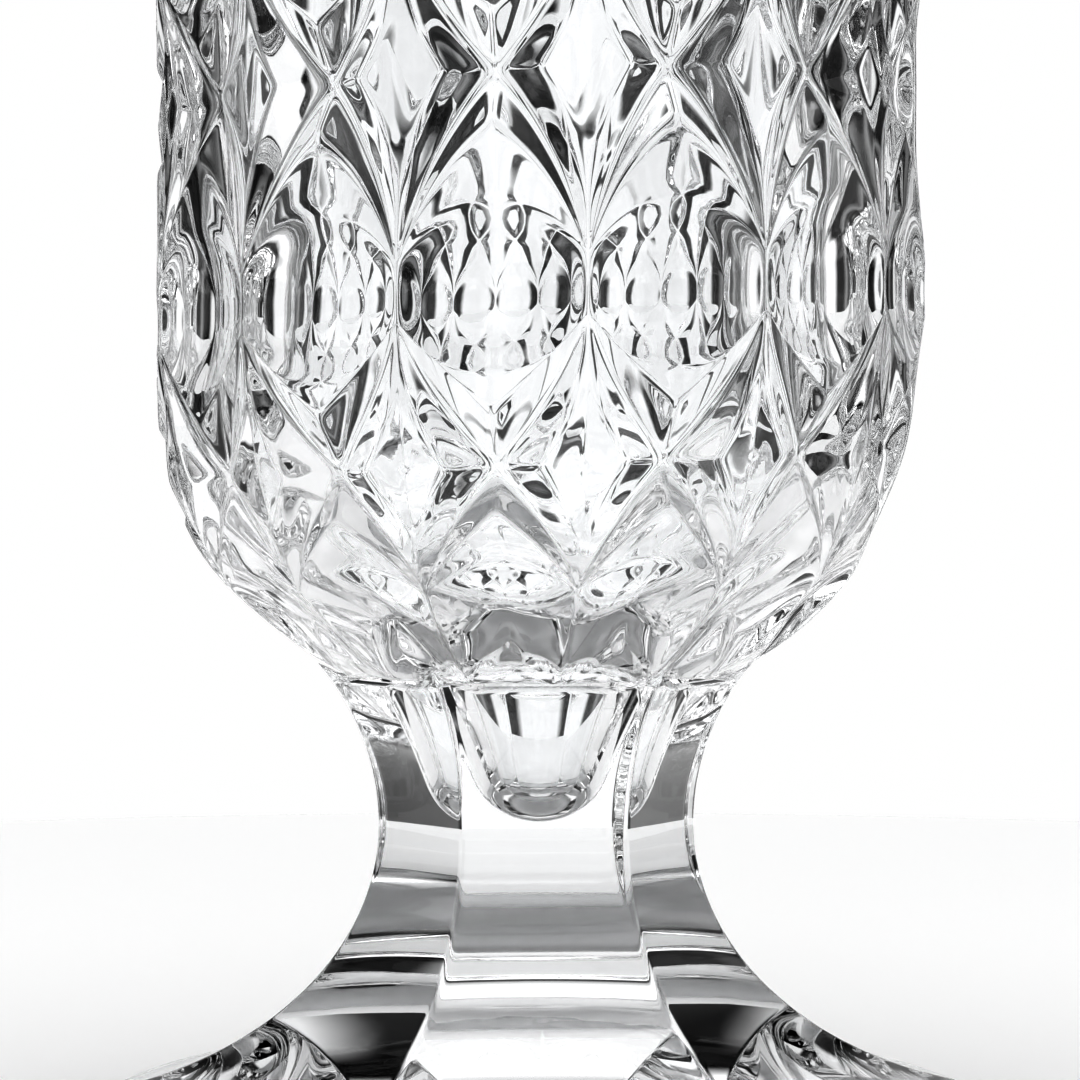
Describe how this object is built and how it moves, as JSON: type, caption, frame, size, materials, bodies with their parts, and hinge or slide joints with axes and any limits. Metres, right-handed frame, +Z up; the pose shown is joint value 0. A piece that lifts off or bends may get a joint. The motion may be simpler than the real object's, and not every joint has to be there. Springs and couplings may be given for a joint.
{
  "type": "footed cut crystal vase",
  "caption": "Clear cut crystal vase: a deep round bowl with a lattice of arched panes and diamonds, on a six-sided waisted stem that flares to a round foot.",
  "frame": {"origin": "centre of the foot's underside, on the table", "axes": "+Z up along the vase's axis, -Y towards the viewer, +X to the viewer's right"},
  "size_m": [0.132, 0.132, 0.25],
  "materials": {
    "bowl_crystal": "clear colourless crystal glass, cut facets polished",
    "pedestal_crystal": "clear colourless crystal glass, polished flat sides",
    "clear_bond": "clear cured adhesive"
  },
  "bodies": {
    "root": {"bowl": "bowl_crystal", "bond_film": "clear_bond", "pedestal": "pedestal_crystal"}
  },
  "joints": []
}
